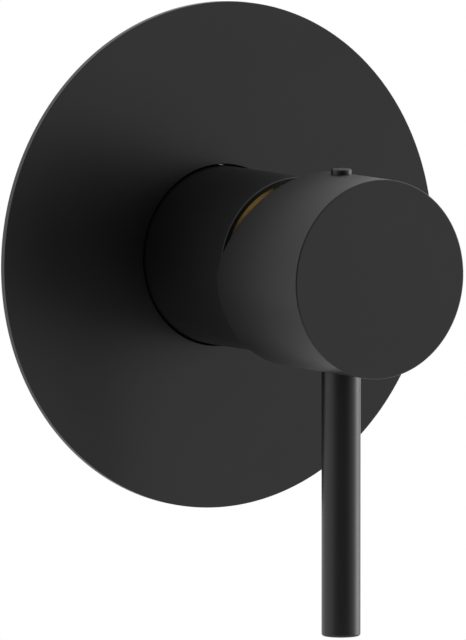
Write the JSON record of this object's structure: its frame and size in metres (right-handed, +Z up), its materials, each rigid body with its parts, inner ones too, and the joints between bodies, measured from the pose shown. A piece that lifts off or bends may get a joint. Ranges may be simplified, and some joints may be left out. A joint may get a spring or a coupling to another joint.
{
  "type": "concealed bath mixer",
  "caption": "Wall-mounted concealed single-lever bath mixer: round wall plate, sleeve, knob with a hanging pin lever, ceramic cartridge and brass in-wall valve body.",
  "frame": {"origin": "centre of the wall plate, on the finished wall that its back rests on", "axes": "-Y out of the wall into the room, +Y into the wall, +Z up, +X to the right of someone facing the mixer; the lever hangs along -Z"},
  "size_m": [0.12, 0.1103, 0.1452],
  "materials": {
    "matte_black": "matte black electroplated and lacquered brass",
    "black_plastic": "matte moulded plastic",
    "cast_brass": "sand-cast, with machined port faces",
    "turned_brass": "turned bright",
    "steel": "stainless, turned",
    "seal_rubber": "black nitrile rubber",
    "foam": "closed-cell foam",
    "acetal": "white moulded acetal",
    "grey_plastic": "grey glass-filled plastic",
    "red_plastic": "red moulded plastic",
    "ceramic": "lapped alumina"
  },
  "bodies": {
    "valve_and_trim": {"escutcheon_plate": "matte_black", "plate_gasket": "foam", "plate_o_ring": "seal_rubber", "sleeve": "matte_black", "sleeve_o_ring": "seal_rubber", "valve_body": "cast_brass", "cartridge_nut": "turned_brass", "cartridge_housing": "acetal", "cartridge_base": "grey_plastic", "base_seals": "seal_rubber", "disc_seals": "seal_rubber", "fixed_disc": "ceramic", "blanking_plug": "turned_brass", "blanking_plug_washer": "seal_rubber"},
    "turret": {"turret": "acetal", "turret_o_ring": "seal_rubber", "limit_ring": "red_plastic", "pivot_pin": "steel"},
    "knob": {"knob_body": "matte_black", "lever_pin": "matte_black", "lever_stud": "steel", "grub_screw": "steel", "index_plug": "black_plastic", "spindle": "turned_brass"},
    "sliding_disc": {"moving_disc": "ceramic", "disc_carrier": "grey_plastic"}
  },
  "joints": [
    {"name": "temperature_turn", "type": "hinge", "parent": "valve_and_trim", "child": "turret", "pos_m": [0, 0, 0], "axis": [0, 1, 0], "range_deg": [-45, 45]},
    {"name": "flow_tilt", "type": "hinge", "parent": "turret", "child": "knob", "pos_m": [0, -0.0265, 0], "axis": [-1, 0, 0], "range_deg": [0, 22]},
    {"name": "disc_slide", "type": "slide", "parent": "turret", "child": "sliding_disc", "axis": [0, 0, -1], "range_m": [0, 0.0036]}
  ],
  "couplings": [
    {"joint": "disc_slide", "follows": "flow_tilt", "m_per_rad": 0.009268}
  ]
}
